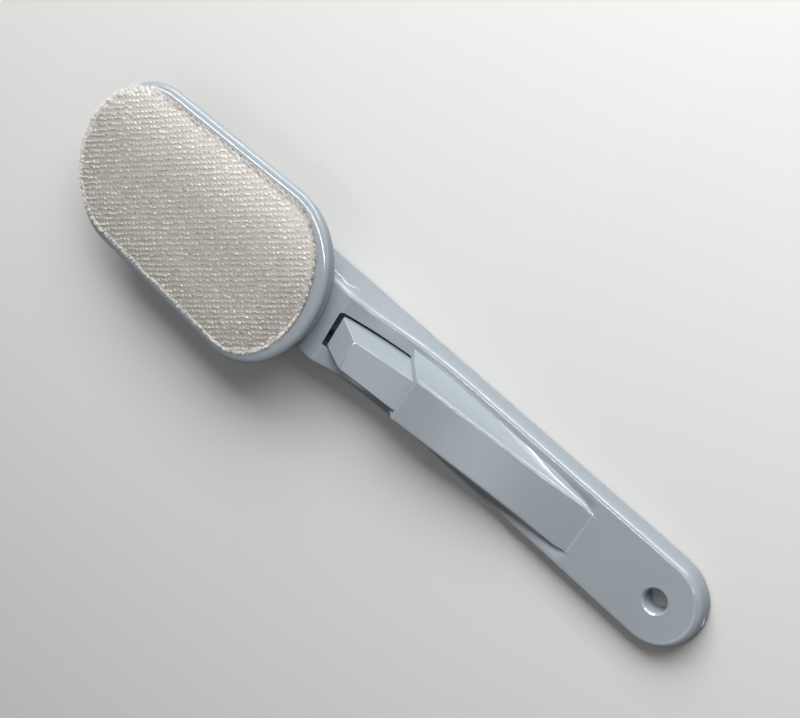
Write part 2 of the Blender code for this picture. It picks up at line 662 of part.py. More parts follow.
def stack(levels):
    """Solid from rings one after another, each with its height and insets."""
    bm = bmesh.new()
    rings = [head_ring(bm, *level) for level in levels]
    for a, b in zip(rings, rings[1:]):
        for i in range(len(a)):
            bm.faces.new((a[i - 1], a[i], b[i], b[i - 1]))
    bm.faces.new(rings[0])
    bm.faces.new(rings[-1])
    return bm


def make_head(head, plastic, steel, board, pile):
    """Both halves of the head, their screws, the pad's backing and the pad."""
    margins = (PAD_MARGIN, PAD_NEAR_MARGIN, PAD_FAR_MARGIN)
    recess = [margin - CLEAR for margin in margins]
    levels = [(HEAD_SEAM + CLEAR / 2, HEAD_ROUND / 4), (HEAD_SEAM + HEAD_ROUND / 3, 0)]
    for i in range(4):
        angle = pi / 2 * i / 3
        levels.append((RIM_HEIGHT - HEAD_ROUND / 1.5 + HEAD_ROUND / 1.5 * sin(angle),
                       HEAD_ROUND * (1 - cos(angle))))
    levels += [(RIM_HEIGHT, *recess), (TRAY_FLOOR, *recess)]
    plate = add("head_plate", stack(levels), plastic, head)

    insets = (HEAD_BASE_SIDE, HEAD_BASE_NEAR, HEAD_BASE_FAR)
    wall_foot = [inset + HEAD_BASE_TAPER for inset in insets]
    underside = [inset + CLEAR for inset in wall_foot]
    base_high = HEAD_SEAM - CLEAR / 2
    base = add("head_base", stack((
        (HEAD_UNDERSIDE, *underside), (HEAD_UNDERSIDE + CLEAR, *wall_foot),
        (base_high, *insets))), plastic, head)
    join(base, "hub", cylinder(SWIVEL_X, 0, HUB_RADIUS, HUB_END, HEAD_UNDERSIDE + WALL / 2, sides=32))
    key_low = DISC_UNDERSIDE + 2 * CLEAR
    join(base, "hub_key", box((SWIVEL_X - KEY_HALF, -KEY_HALF, key_low),
                              (SWIVEL_X + KEY_HALF, KEY_HALF, HUB_END + WALL)))
    cut(base, "hub_bore", cylinder(SWIVEL_X, 0, PIVOT_RADIUS + CLEAR, key_low - WALL,
                                   HEAD_UNDERSIDE + 2 * CLEAR, sides=16))

    floor = HEAD_UNDERSIDE + HEAD_BOSS_FLOOR
    boss_foot = floor + CLEAR
    tip = boss_foot + HEAD_SCREW_BITE
    places = [(SWIVEL_X + x, y) for x in (-HEAD_SCREW_AHEAD, HEAD_SCREW_AHEAD)
              for y in (-HEAD_SCREW_ASIDE, HEAD_SCREW_ASIDE)]
    for i, (x, y) in enumerate(places):
        neck = HEAD_UNDERSIDE + HEAD_SCREW_SUNK + HEAD_SCREW_HEIGHT
        cut(base, f"head_socket_{i + 1}", cylinder(x, y, HEAD_BOSS + CLEAR, floor, HEAD_SEAM + WALL))
        cut(base, f"head_screw_hole_{i + 1}", screw_hole(
            x, y, HEAD_SCREW_HEAD, neck, HEAD_SCREW_RADIUS, HEAD_UNDERSIDE - WALL, floor + WALL))
        join(plate, f"head_boss_{i + 1}", cylinder(x, y, HEAD_BOSS, boss_foot, TRAY_FLOOR - CLEAR))
        cut(plate, f"head_pilot_{i + 1}", cylinder(x, y, HEAD_SCREW_RADIUS + CLEAR, boss_foot - WALL,
                                                   tip + CLEAR, sides=16))
        make_screw(f"head_screw_{i + 1}", x, y,
                   (HEAD_SCREW_HEAD, HEAD_UNDERSIDE + HEAD_SCREW_SUNK, HEAD_SCREW_HEIGHT),
                   (HEAD_SCREW_RADIUS, tip), steel, head)

    low = TRAY_FLOOR + CLEAR
    add("pad_backing", stack(((low, *margins), (BACKING_TOP, *margins))), board, head)

    edge = PAD_UNDERSIDE + PAD_EDGE_THICK
    width = HEAD_FAR_ARC - PAD_FAR_MARGIN
    levels = [(PAD_UNDERSIDE, *[margin + CLEAR for margin in margins]),
              (PAD_UNDERSIDE + PAD_EDGE_THICK / 2, *margins)]
    for share in (0.03, 0.14, 0.32, 0.60):
        rise_up = PAD_CROWN * (1 - (1 - share) ** 3)
        levels.append((edge - PAD_CROWN / 8 + rise_up, *[margin + width * share for margin in margins]))
    add("lint_pad", stack(levels), pile, head)


def make_swivel(head, steel, nylon, acetal):
    """Rings, disc, washer and screw that carry the head on the neck."""
    low = SEAT_FLOOR + CLEAR
    add("swivel_ring", washer(SWIVEL_X, HUB_RADIUS + CLEAR, HUB_RADIUS + CLEAR + RING_WIDTH, low,
                              low + RING_THICK), acetal)

    bm = washer(0, HUB_RADIUS + 2 * CLEAR, HUB_RADIUS + 2 * CLEAR + WAVE_WIDTH, 0, WAVE_THICK, sides=36)
    swing = (WAVE_HEIGHT - WAVE_THICK) / 2
    for vert in bm.verts:
        turn = vert.co.xy.angle_signed(Vector((1, 0)))
        vert.co.z += WAVE_TOP - WAVE_THICK - swing + swing * cos(3 * turn)
    bmesh.ops.translate(bm, vec=(SWIVEL_X, 0, 0), verts=bm.verts)
    add("wave_washer", bm, steel)

    disc = add("index_disc", cylinder(SWIVEL_X, 0, DISC_RADIUS, DISC_UNDERSIDE, DISC_TOP, sides=48),
               nylon, head)
    key = KEY_HALF + CLEAR
    cut(disc, "disc_key_hole", box((SWIVEL_X - key, -key, DISC_UNDERSIDE - WALL),
                                   (SWIVEL_X + key, key, DISC_TOP + WALL)))
    notch = TONGUE_HALF + CLEAR
    depth = SLIDE_TRAVEL + CLEAR
    for side in (-1, 1):
        ends = sorted((SWIVEL_X + side * (DISC_RADIUS - depth), SWIVEL_X + side * 2 * DISC_RADIUS))
        name = "far" if side > 0 else "near"
        cut(disc, f"disc_notch_{name}", box((ends[0], -notch, DISC_UNDERSIDE - WALL),
                                            (ends[1], notch, DISC_TOP + WALL)))

    add("pivot_washer", washer(SWIVEL_X, PIVOT_RADIUS + CLEAR, WASHER_RADIUS, WASHER_TOP - WASHER_THICK,
                               WASHER_TOP), steel, head)

    make_screw("pivot_screw", SWIVEL_X, 0,
               (PIVOT_HEAD_RADIUS, PIVOT_HEAD_TOP - PIVOT_HEAD_HEIGHT, PIVOT_HEAD_HEIGHT),
               (PIVOT_RADIUS, HEAD_UNDERSIDE + CLEAR), steel, head)


def main():
    for old in list(bpy.data.objects):
        bpy.data.objects.remove(old)
    plastic = material("blue_grey_plastic", (0.33, 0.37, 0.42), 0.28)
    acetal = material("white_acetal", (0.80, 0.80, 0.78), 0.35)
    steel = material("bright_steel", (0.62, 0.62, 0.63), 0.30, 1.0)
    nylon = material("dark_nylon", (0.08, 0.09, 0.10), 0.45)
    board = material("grey_board", (0.36, 0.35, 0.33), 0.80)
    pile = material("directional_pile", (0.53, 0.49, 0.44), 0.85)
    head = empty("head_axis", (SWIVEL_X, 0, 0))
    slider = empty("slider_axis", (BUTTON_X, 0, BAR_UNDERSIDE))
    make_handle_cover(plastic)
    make_handle_base(plastic)
    make_case_screws(steel)
    make_slider(slider, plastic, acetal)
    make_bar_spring(steel)
    make_head(head, plastic, steel, board, pile)
    make_swivel(head, steel, nylon, acetal)
    bpy.context.view_layer.update()


main()
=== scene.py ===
import json
import random
from math import asin, atan2, cos, hypot, pi, radians, sin

import bmesh
import bpy
from mathutils import Matrix, Vector

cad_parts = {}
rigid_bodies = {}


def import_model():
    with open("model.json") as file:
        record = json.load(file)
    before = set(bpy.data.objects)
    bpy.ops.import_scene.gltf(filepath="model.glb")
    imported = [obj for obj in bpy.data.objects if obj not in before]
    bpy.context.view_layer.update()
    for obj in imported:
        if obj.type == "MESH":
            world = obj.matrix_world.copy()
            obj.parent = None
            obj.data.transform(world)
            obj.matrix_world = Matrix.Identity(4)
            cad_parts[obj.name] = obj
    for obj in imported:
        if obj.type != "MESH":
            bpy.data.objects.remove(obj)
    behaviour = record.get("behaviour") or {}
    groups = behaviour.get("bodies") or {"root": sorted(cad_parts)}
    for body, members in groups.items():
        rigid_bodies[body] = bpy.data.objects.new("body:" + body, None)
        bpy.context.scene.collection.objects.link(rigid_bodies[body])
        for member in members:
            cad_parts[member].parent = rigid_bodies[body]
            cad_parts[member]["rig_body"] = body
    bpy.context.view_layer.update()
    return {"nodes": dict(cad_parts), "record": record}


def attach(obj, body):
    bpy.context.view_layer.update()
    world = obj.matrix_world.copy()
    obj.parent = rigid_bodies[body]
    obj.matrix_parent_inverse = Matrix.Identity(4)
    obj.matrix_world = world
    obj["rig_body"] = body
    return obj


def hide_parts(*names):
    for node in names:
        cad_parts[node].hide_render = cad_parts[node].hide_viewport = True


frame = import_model()
random.seed(11)
print("frame loaded:", len(frame["nodes"]), "nodes")


# Shader helpers

class Link:
    # a socket's value; arithmetic on it adds Math nodes
    def __init__(self, paint, socket):
        self.paint, self.socket = paint, socket

    def math(self, operation, first, second):
        return self.paint.node("Math", {"operation": operation}, {0: first, 1: second})

    def __add__(self, other):
        return self.math("ADD", self, other)

    def __radd__(self, other):
        return self.math("ADD", other, self)

    def __mul__(self, other):
        return self.math("MULTIPLY", self, other)

    def __rmul__(self, other):
        return self.math("MULTIPLY", other, self)


class Paint:
    # one material, built up from nodes round its Principled shader
    def __init__(self, name):
        self.material = bpy.data.materials.new(name)
        self.material.use_nodes = True
        self.tree = self.material.node_tree
        self.shader = self.tree.nodes["Principled BSDF"]
        self.place = self.node("TexCoord", output="Object")

    def node(self, kind, settings=None, inputs=None, output=0):
        made = self.tree.nodes.new("ShaderNode" + kind)
        for key, value in (settings or {}).items():
            if key == "stops":
                while len(made.color_ramp.elements) < len(value):
                    made.color_ramp.elements.new(1.0)
                for stop, (position, level) in zip(made.color_ramp.elements, value):
                    stop.position = position
                    stop.color = (level, level, level, 1)
            else:
                setattr(made, key, value)
        self.fill(made, inputs or {})
        return Link(self, made.outputs[output])

    def fill(self, made, inputs):
        for key, value in inputs.items():
            if isinstance(value, Link):
                self.tree.links.new(value.socket, made.inputs[key])
            else:
                made.inputs[key].default_value = value

    def finish(self, **inputs):
        self.fill(self.shader, {key.replace("_", " "): value for key, value in inputs.items()})
        return self.material

    def noise(self, scale, detail, roughness=0.5, place=None):
        inputs = {"Vector": place or self.place, "Scale": scale, "Detail": detail, "Roughness": roughness}
        return self.node("TexNoise", {}, inputs)

    def stretched(self, scale, turn=(0.0, 0.0, 0.0)):
        return self.node("Mapping", {}, {"Vector": self.place, "Scale": scale, "Rotation": turn})

    def ramp(self, value, *stops):
        return self.node("ValToRGB", {"stops": stops}, {"Fac": value})

    def blend(self, share, first, second):
        first, second = [tone if isinstance(tone, Link) else (*tone, 1.0) for tone in (first, second)]
        return self.node("Mix", {"data_type": "RGBA"}, {0: share, 6: first, 7: second}, output=2)

    def bump(self, height, distance, strength, normal=None):
        inputs = {"Height": height, "Distance": distance, "Strength": strength}
        if normal:
            inputs["Normal"] = normal
        return self.node("Bump", {}, inputs)


# Finishes: a noise is its scale and detail, a bump its height in metres and strength

mouldedLook = {
    "cloud": (38.0, 3.0), "grain": (2600.0, 2.0), "wave": (95.0, 1.5),
    "scuffStretch": (420.0, 2400.0, 900.0), "scuffTurn": (0.0, 0.0, 0.35), "scuffDetail": 2.0,
    "scuffFrom": 0.62, "scuffTo": 0.72, "darker": 0.95, "lighter": 1.04,
    "rough": 0.08, "cloudRough": 0.04, "grainRough": 0.02, "scuffRough": 0.05,
    "waveBump": (0.00002, 0.45), "grainBump": (0.000008, 0.6), "ior": 1.52,
}
metalLook = {
    "stretch": (900.0, 900.0, 5200.0), "lineDetail": 3.0, "spots": (310.0, 3.0), "darker": 0.82,
    "lineRough": 0.12, "spotRough": 0.08, "lineBump": (0.00001, 0.5),
}
mattLook = {
    "grain": (1900.0, 2.0), "cloud": (120.0, 2.0), "darker": 0.9,
    "grainRough": 0.12, "grainBump": (0.00002, 0.5),
}
boardLook = {
    "stretch": (900.0, 2600.0, 1500.0), "detail": 4.0, "noiseRough": 0.6, "darker": 0.75,
    "rough": 0.82, "fibreRough": 0.12, "fibreBump": (0.00006, 0.7),
}


def scaled(colour, share):
    return tuple(level * share for level in colour)


def mouldedPlastic(name, colour):
    look, paint = mouldedLook, Paint(name)
    cloud, grain, wave = [paint.noise(*look[key]) for key in ("cloud", "grain", "wave")]
    stretch = paint.stretched(look["scuffStretch"], look["scuffTurn"])
    scuffs = paint.noise(1.0, look["scuffDetail"], place=stretch)
    scuffed = paint.ramp(scuffs, (look["scuffFrom"], 0.0), (look["scuffTo"], 1.0))
    tone = paint.blend(cloud, scaled(colour, look["darker"]), scaled(colour, look["lighter"]))
    rough = (look["rough"] + look["cloudRough"] * cloud + look["grainRough"] * grain
             + look["scuffRough"] * scuffed)
    relief = paint.bump(grain, *look["grainBump"], paint.bump(wave, *look["waveBump"]))
    return paint.finish(Base_Color=tone, Roughness=rough, Normal=relief, IOR=look["ior"])


def turnedMetal(name, colour, roughness):
    look, paint = metalLook, Paint(name)
    lines = paint.noise(1.0, look["lineDetail"], place=paint.stretched(look["stretch"]))
    spots = paint.noise(*look["spots"])
    tone = paint.blend(spots, scaled(colour, look["darker"]), colour)
    rough = roughness + look["lineRough"] * lines + look["spotRough"] * spots
    relief = paint.bump(lines, *look["lineBump"])
    return paint.finish(Base_Color=tone, Metallic=1.0, Roughness=rough, Normal=relief)


def mattPlastic(name, colour, roughness):
    look, paint = mattLook, Paint(name)
    grain, cloud = paint.noise(*look["grain"]), paint.noise(*look["cloud"])
    tone = paint.blend(cloud, scaled(colour, look["darker"]), colour)
    rough = roughness + look["grainRough"] * grain
    return paint.finish(Base_Color=tone, Roughness=rough, Normal=paint.bump(grain, *look["grainBump"]))


def pressedBoard(name, colour):
    look, paint = boardLook, Paint(name)
    fibres = paint.noise(1.0, look["detail"], look["noiseRough"], paint.stretched(look["stretch"]))
    tone = paint.blend(fibres, scaled(colour, look["darker"]), colour)
    rough = look["rough"] + look["fibreRough"] * fibres
    return paint.finish(Base_Color=tone, Roughness=rough, Normal=paint.bump(fibres, *look["fibreBump"]))


plastic = mouldedPlastic("blueGreyPlastic", (0.285, 0.321, 0.35))
flashHighlightPlastic = mouldedPlastic("flashPaintedHighlight", (0.60, 0.64, 0.68))   # painted highlight: the flash is coloured lighter than the shell to show the bright line it catches
steel = turnedMetal("brightSteel", (0.62, 0.62, 0.63), 0.24)
acetal = mattPlastic("whiteAcetal", (0.80, 0.80, 0.78), 0.32)
nylon = mattPlastic("darkNylon", (0.08, 0.09, 0.10), 0.42)
board = pressedBoard("greyBoard", (0.36, 0.35, 0.33))
slots = {"blue_grey_plastic": plastic, "bright_steel": steel, "white_acetal": acetal,
         "dark_nylon": nylon, "grey_board": board}
slotOf = {row["node"]: row["material_slot"] for row in frame["record"]["subparts"]}
for name, node in frame["nodes"].items():
    if slotOf[name] in slots:
        node.data.materials.clear()
        node.data.materials.append(slots[slotOf[name]])
print("finishes made:", len(slots))


# Mesh helpers

merging = {"turned": 0.000002, "skin": 0.000004, "packed": 0.00001, "spike": 0.001}   # nearer points merge
flatBelow = {"hull": 0.1, "packed": 0.6}        # degrees under which neighbouring faces become one


def piece(name, bm, finish, body=None, smoothBelow=40):
    mesh = bpy.data.meshes.new(name)
    bm.to_mesh(mesh)
    bm.free()
    mesh.shade_smooth()
    mesh.set_sharp_from_angle(angle=radians(smoothBelow))
    mesh.materials.append(finish)
    made = bpy.data.objects.new(name, mesh)
    bpy.context.scene.collection.objects.link(made)
    if body:
        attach(made, body)
    return made


def standsFor(node):
    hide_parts(node)


def carve(bm, cutter):
    # the bmesh less a cutter, as a new bmesh
    target, tool = piece("carved", bm, plastic), piece("cutter", cutter, plastic)
    cut = target.modifiers.new("cut", "BOOLEAN")
    cut.operation, cut.solver, cut.object = "DIFFERENCE", "MANIFOLD", tool
    result = bmesh.new()
    result.from_object(target, bpy.context.evaluated_depsgraph_get())
    for helper in (target, tool):
        mesh = helper.data
        bpy.data.objects.remove(helper)
        bpy.data.meshes.remove(mesh)
    return result


def hull(points):
    bm = bmesh.new()
    for point in points:
        bm.verts.new(point)
    bmesh.ops.convex_hull(bm, input=bm.verts)
    loose = [vert for vert in bm.verts if not vert.link_faces]
    bmesh.ops.delete(bm, geom=loose, context="VERTS")
    bmesh.ops.dissolve_limit(bm, angle_limit=radians(flatBelow["hull"]), verts=bm.verts, edges=bm.edges)
    bmesh.ops.recalc_face_normals(bm, faces=bm.faces)
    return bm


def turned(x, profile, steps):
    # solid turned round an upright axis from (radius, height) points
    bm = bmesh.new()
    verts = [bm.verts.new((x + radius, 0, height)) for radius, height in profile]
    edges = [bm.edges.new(pair) for pair in zip(verts, verts[1:])]
    bmesh.ops.spin(bm, geom=verts + edges, cent=(x, 0, 0), axis=(0, 0, 1), angle=2 * pi, steps=steps,
                   use_merge=True)
    bmesh.ops.remove_doubles(bm, verts=bm.verts, dist=merging["turned"])
    bmesh.ops.recalc_face_normals(bm, faces=bm.faces)
    return bm


def smoothStep(share):
    share = min(max(share, 0.0), 1.0)
    return share * share * (3 - 2 * share)


def softMax(a, b, width):
    # the larger of two values, blended over a width
    gap = min(max(0.5 + 0.5 * (a - b) / width, 0.0), 1.0)
    return b + (a - b) * gap + width * gap * (1 - gap)


# Handle cover: one lofted shell, from the seam over the edge rounding to the hood

handle = {
    "tailX": -0.11725, "tailRadius": 0.0164, "swivelX": 0.07985, "neckRadius": 0.0153,
    "grip": 0.0069, "neck": 0.0150, "crest": 0.0161, "crestX": 0.02435, "levelX": 0.02575,
    "crestFall": 0.0070,                    # length of the soft fall from the crest to the neck
    "riseX": -0.02725, "rise": 0.0516,      # hollow rise between grip and crest
    "seamGrip": 0.0033, "seamNeck": 0.0124,
    "draft": 0.11, "flare": 0.0017, "flareLength": 0.0155,
    "wall": 0.0020, "thinWall": 0.0013, "edgeRound": 0.0018, "tailBlock": 0.027,
    "shelfGap": 0.0002, "seamGap": 0.00002,
}
hole = {
    "radius": 0.0040, "chamfer": 0.0009, "steps": 96,
    "depth": 1.2, "mouth": 1.9,             # shares of the chamfer
    "curve": 1.1, "curveTurn": 50, "curveSteps": 5,   # the chamfer's rounded start
}
hood = {
    "tipX": -0.08525, "topX": -0.01465, "footX": -0.00535, "front": 0.0179, "step": 0.00005,
    "topHalf": 0.0092, "footHalf": 0.0116, "tipHalf": 0.0084, "tipWall": 0.0005, "widening": 0.026,
    "footCurve": 1.25, "tipCurve": 0.005, "scoop": 0.00045, "scoopStart": 0.0020, "scoopEnd": 0.016,
    "round": 0.0013, "frontRound": 0.0005, "roundShare": 0.45, "cove": 40.0,
    "least": 0.0000001,                     # height it counts with where it has run out
    "topBlend": 0.00020, "frontBlend": 0.0003, "frontFrom": -0.1,   # how its planes run into each other
}
opening = {
    "front": 0.02145, "frontHalf": 0.0076, "rearHalf": 0.0088, "low": 0.0051,
    "corner": 0.0015, "cornerSteps": 8, "behind": 0.0005,
    "undercut": 0.40,                       # how far the front wall leans under for each unit of height
    "sideGap": 0.00065, "lift": 0.0003, "under": 0.0018,   # room round the button under the hood
}
button = {
    "front": 0.0197, "length": 0.0400, "nose": 0.0103, "top": 0.0212, "noseFoot": 0.0146, "slope": 0.2207,
    "topFront": 0.0059, "topRear": 0.0071, "footFront": 0.0062, "footRear": 0.0088,
    "frontUnder": 0.0086, "rearUnder": 0.0058, "wall": 0.0016, "hollow": 0.0030,
    "round": 0.00035, "roundSteps": 5, "roundAbove": 0.0095, "facet": 0.00001, "facetInset": 0.00005,
}
seat = {
    "radius": 0.0126, "floor": 0.0138, "hub": 0.0078, "bossUnder": 0.0116, "boss": 0.0128,
    "bossSlope": 0.0005, "low": 0.0096, "steps": 64,
}
rows = {"roof": 12, "corner": 8, "cove": 12, "shelf": 6, "edge": 10, "wall": 3}   # points in a section
columns = {   # sections round the tail, on each stretch and round the neck
    "tail": 24, "grip": 14, "tip": 24, "hood": 44, "front": 36, "rise": 40, "fall": 14, "level": 24,
    "neck": 18, "tipLength": 0.012, "beforeFront": 0.002, "behindFront": 0.001,
}


def riseShare(x):
    return min(max((x - handle["riseX"]) / handle["rise"], 0.0), 1.0)


def topHeight(x):
    height = handle["grip"] + (handle["crest"] - handle["grip"]) * riseShare(x) ** 2
    fall = smoothStep((x - handle["levelX"]) / handle["crestFall"] + 1)
    return height + (handle["neck"] - height) * fall


def seamHeight(x):
    return handle["seamGrip"] + (handle["seamNeck"] - handle["seamGrip"]) * riseShare(x) ** 3


def lean(x):
    # how far the side stands in for each unit of height
    share = smoothStep((x - handle["crestX"]) / handle["flareLength"] + 1)
    return handle["draft"] - handle["flare"] / handle["crest"] * share


def hoodPlane(x):
    low = handle["grip"] + hood["step"]
    return low + (hood["front"] - low) * (x - hood["tipX"]) / (hood["topX"] - hood["tipX"])


def hoodSection(x):
    # the hood's top, its uncut top and the half widths at its top edge and foot
    top = topHeight(x)
    along = min(max(x - hood["tipX"], 0.0), hood["widening"])
    half = hood["tipHalf"] + (hood["topHalf"] - hood["tipHalf"]) * smoothStep(along / hood["tipCurve"])
    widened = 1 - (1 - along / hood["widening"]) ** hood["footCurve"]
    foot = min(half + hood["tipWall"] + (hood["footHalf"] - hood["topHalf"]) * widened, hood["footHalf"])
    plane = softMax(hoodPlane(x), top, hood["topBlend"])
    rake = (x - hood["topX"]) / (hood["footX"] - hood["topX"])
    front = hood["front"] + (topHeight(hood["footX"]) - hood["front"]) * rake
    cut = plane
    if rake > hood["frontFrom"]:
        cut = -softMax(-plane, -max(front, top), hood["frontBlend"])
    return max(min(cut, plane), top), plane, half, foot


def scoopDepth(x):
    # the shelf beside the hood is scooped out a little behind the hood's tip
    along = x - hood["tipX"]
    fade = 1 - smoothStep((along - hood["scoopStart"]) / hood["scoopEnd"])
    return hood["scoop"] * smoothStep(along / hood["scoopStart"]) * fade


def outerSection(x, reach):
    # (distance from the middle, height) from the middle over the hood to the seam
    top, seam, slope = topHeight(x), seamHeight(x) + handle["seamGap"], lean(x)
    high, plane, half, foot = hoodSection(x)
    low = top - scoopDepth(x)
    full = max(plane - low, hood["least"])
    cove = radians(hood["cove"])

    def down(height):
        return asin(min(max((plane - height) / full, 0.0), 1.0) * sin(cove))

    def wall(turn):
        out = half + (foot - half) * (1 - cos(turn)) / (1 - cos(cove))
        return out, plane - full * sin(turn) / sin(cove)

    most = hood["round"] if x < hood["topX"] else hood["frontRound"]
    rounding = min(most, hood["roundShare"] * (high - low))
    corner, start = (wall(down(high))[0], high), down(high - rounding)
    first, last = (corner[0] - rounding, high), wall(start)
    points = [(first[0] * i / rows["roof"], high) for i in range(rows["roof"])]
    for i in range(rows["corner"]):
        t = i / rows["corner"]
        points.append(tuple((1 - t) ** 2 * a + 2 * t * (1 - t) * b + t * t * c
                            for a, b, c in zip(first, corner, last)))
    points += [wall(start + (cove - start) * i / rows["cove"]) for i in range(rows["cove"] + 1)]
    edge = reach - slope * top
    begin, below = edge - handle["edgeRound"], top - handle["edgeRound"]
    for i in range(1, rows["shelf"]):
        height = low + (top - low) * smoothStep(i / (rows["shelf"] - 1))
        points.append((foot + (begin - foot) * i / rows["shelf"], height))
    for i in range(rows["edge"] + 1):
        turn = pi / 2 * i / rows["edge"]
        height = top - handle["edgeRound"] * (1 - cos(turn))
        points.append((begin + handle["edgeRound"] * sin(turn) + slope * (top - height), height))
    for i in range(1, rows["wall"] + 1):
        height = below + (seam - below) * i / rows["wall"]
        points.append((edge + slope * (top - height), height))
    return points


def innerSection(x, reach):
    # the same count of points on the hollow's surface
    wall, seam, slope = handle["wall"], seamHeight(x) + handle["seamGap"], lean(x)
    high, _, half, foot = hoodSection(x)
    thick = wall if x < hood["footX"] else handle["thinWall"]
    roof, shelf = high - thick, min(topHeight(x), handle["neck"]) - thick
    side = reach - slope * topHeight(x) - wall
    inner, outer = half - wall, min(foot - wall, side - handle["shelfGap"])
    if x < handle["tailX"] + handle["tailBlock"]:
        roof = shelf = seam
    elif x > handle["swivelX"] - seat["boss"]:
        roof = shelf = seat["bossUnder"]
        outer = min(seat["boss"], side - handle["shelfGap"])
        inner = outer - seat["bossSlope"]
    across, down = rows["roof"] + rows["corner"], rows["edge"] + rows["wall"]
    points = [(inner * i / across, roof) for i in range(across)]
    points += [(inner + (outer - inner) * i / rows["cove"], roof + (shelf - roof) * i / rows["cove"])
               for i in range(rows["cove"] + 1)]
    points += [(outer + (side - outer) * i / rows["shelf"], shelf) for i in range(1, rows["shelf"])]
    level = max(shelf, seam)
    for i in range(down + 1):
        height = level + (seam - level) * i / down
        points.append((side + slope * (topHeight(x) - height), height))
    return points


def reachAt(x):
    # distance from the middle line to the straight side, at the height of the underside
    share = (x - handle["tailX"]) / (handle["swivelX"] - handle["tailX"])
    return handle["tailRadius"] + (handle["neckRadius"] - handle["tailRadius"]) * share


def stations():
    # (middle of the cross line, its direction, reach to the outline) from tail to neck
    lines = []
    tail, neck = Vector((handle["tailX"], 0)), Vector((handle["swivelX"], 0))
    for i in range(columns["tail"]):
        lines.append((tail, pi - pi / 2 * i / columns["tail"], handle["tailRadius"]))
    starts = (("grip", handle["tailX"]), ("tip", hood["tipX"]),
              ("hood", hood["tipX"] + columns["tipLength"]),
              ("front", hood["topX"] - columns["beforeFront"]),
              ("rise", hood["footX"] + columns["behindFront"]),
              ("fall", handle["levelX"] - handle["crestFall"]), ("level", handle["levelX"]),
              ("neck", handle["swivelX"]))
    for (stretch, low), (_, high) in zip(starts, starts[1:]):
        for i in range(columns[stretch]):
            x = low + (high - low) * i / columns[stretch]
            lines.append((Vector((x, 0)), pi / 2, reachAt(x)))
    for i in range(columns["neck"] + 1):
        lines.append((neck, pi / 2 - pi / 2 * i / columns["neck"], handle["neckRadius"]))
    return lines


def skin(section):
    # sheet through a section's points at every station, on both sides
    lines = stations()
    sections = [section(middle.x, reach) for middle, _, reach in lines]
    last = len(sections[0]) - 1
    bm = bmesh.new()
    grid = bmesh.ops.create_grid(bm, x_segments=len(lines) - 1, y_segments=2 * last, size=1.0)
    for vert in grid["verts"]:
        i = round((vert.co.x + 1) / 2 * (len(lines) - 1))
        j = round((vert.co.y + 1) * last) - last
        middle, angle, _ = lines[i]
        out, height = sections[i][abs(j)]
        side = 1 if j > 0 else -1
        vert.co = (middle.x + out * cos(angle), side * out * sin(angle), height)
    bmesh.ops.remove_doubles(bm, verts=bm.verts, dist=merging["skin"])
    return bm


def openEdges(bm):
    return [edge for edge in bm.edges if len(edge.link_faces) == 1]


def buttonPoints(grow=0.0, lift=0.0, under=0.0, extra=0.0):
    front, rear = button["front"], button["front"] - button["length"] - extra
    nose = front - button["nose"]
    fall = button["top"] - button["slope"] * (nose - rear)
    points = []
    for side in (-1, 1):
        points += [(nose, side * (button["topFront"] + grow), button["top"] + lift),
                   (rear, side * (button["topRear"] + grow), fall + lift),
                   (front, side * (button["footFront"] + grow), button["noseFoot"]),
                   (front, side * (button["footFront"] + grow), button["frontUnder"] - under),
                   (rear, side * (button["footRear"] + grow), button["rearUnder"] - under)]
    return points


def openingPoints():
    points = []
    for side in (-1, 1):
        for height in (opening["low"], button["top"]):
            front = opening["front"] + opening["undercut"] * (handle["neck"] - height)
            points.append((hood["footX"] - opening["behind"], side * opening["rearHalf"], height))
            for i in range(opening["cornerSteps"] + 1):
                turn = pi / 2 * i / opening["cornerSteps"]
                points.append((front - opening["corner"] * (1 - sin(turn)),
                               side * (opening["frontHalf"] - opening["corner"] * (1 - cos(turn))), height))
    return points


coverBm = skin(outerSection)
inside = skin(innerSection)
insideMesh = bpy.data.meshes.new("inside")
inside.to_mesh(insideMesh)
inside.free()
coverBm.from_mesh(insideMesh)
bpy.data.meshes.remove(insideMesh)
bmesh.ops.bridge_loops(coverBm, edges=openEdges(coverBm))
bmesh.ops.recalc_face_normals(coverBm, faces=coverBm.faces)
print("cover skins:", len(coverBm.faces), "faces")
holeTop, chamfer = handle["grip"], hole["chamfer"]
holeProfile = [(0, 0), (hole["radius"], 0), (hole["radius"], holeTop - chamfer * hole["depth"])]
for i in range(1, hole["curveSteps"] + 1):
    turn = radians(hole["curveTurn"]) * i / hole["curveSteps"]
    holeProfile.append((hole["radius"] + chamfer * hole["curve"] * (1 - cos(turn)),
                        holeTop - chamfer * (hole["depth"] - sin(turn))))
holeProfile += [(hole["radius"] + chamfer * hole["mouth"], holeTop + chamfer), (0, holeTop + chamfer)]
seatTop = handle["neck"] + handle["wall"]
seatProfile = [(0, seat["low"]), (seat["hub"], seat["low"]), (seat["hub"], seat["floor"]),
               (seat["radius"], seat["floor"]), (seat["radius"], seatTop), (0, seatTop)]
for cutter in (hull(buttonPoints(opening["sideGap"], opening["lift"], opening["under"], handle["wall"])),
               hull(openingPoints()),
               turned(handle["tailX"], holeProfile, hole["steps"]),
               turned(handle["swivelX"], seatProfile, seat["steps"])):
    coverBm = carve(coverBm, cutter)
print("cover cut:", len(coverBm.faces), "faces, not closed:",
      sum(not edge.is_manifold for edge in coverBm.edges))
cover = piece("handle_cover_shell", coverBm, plastic, "handle", smoothBelow=32)
standsFor("handle_cover")

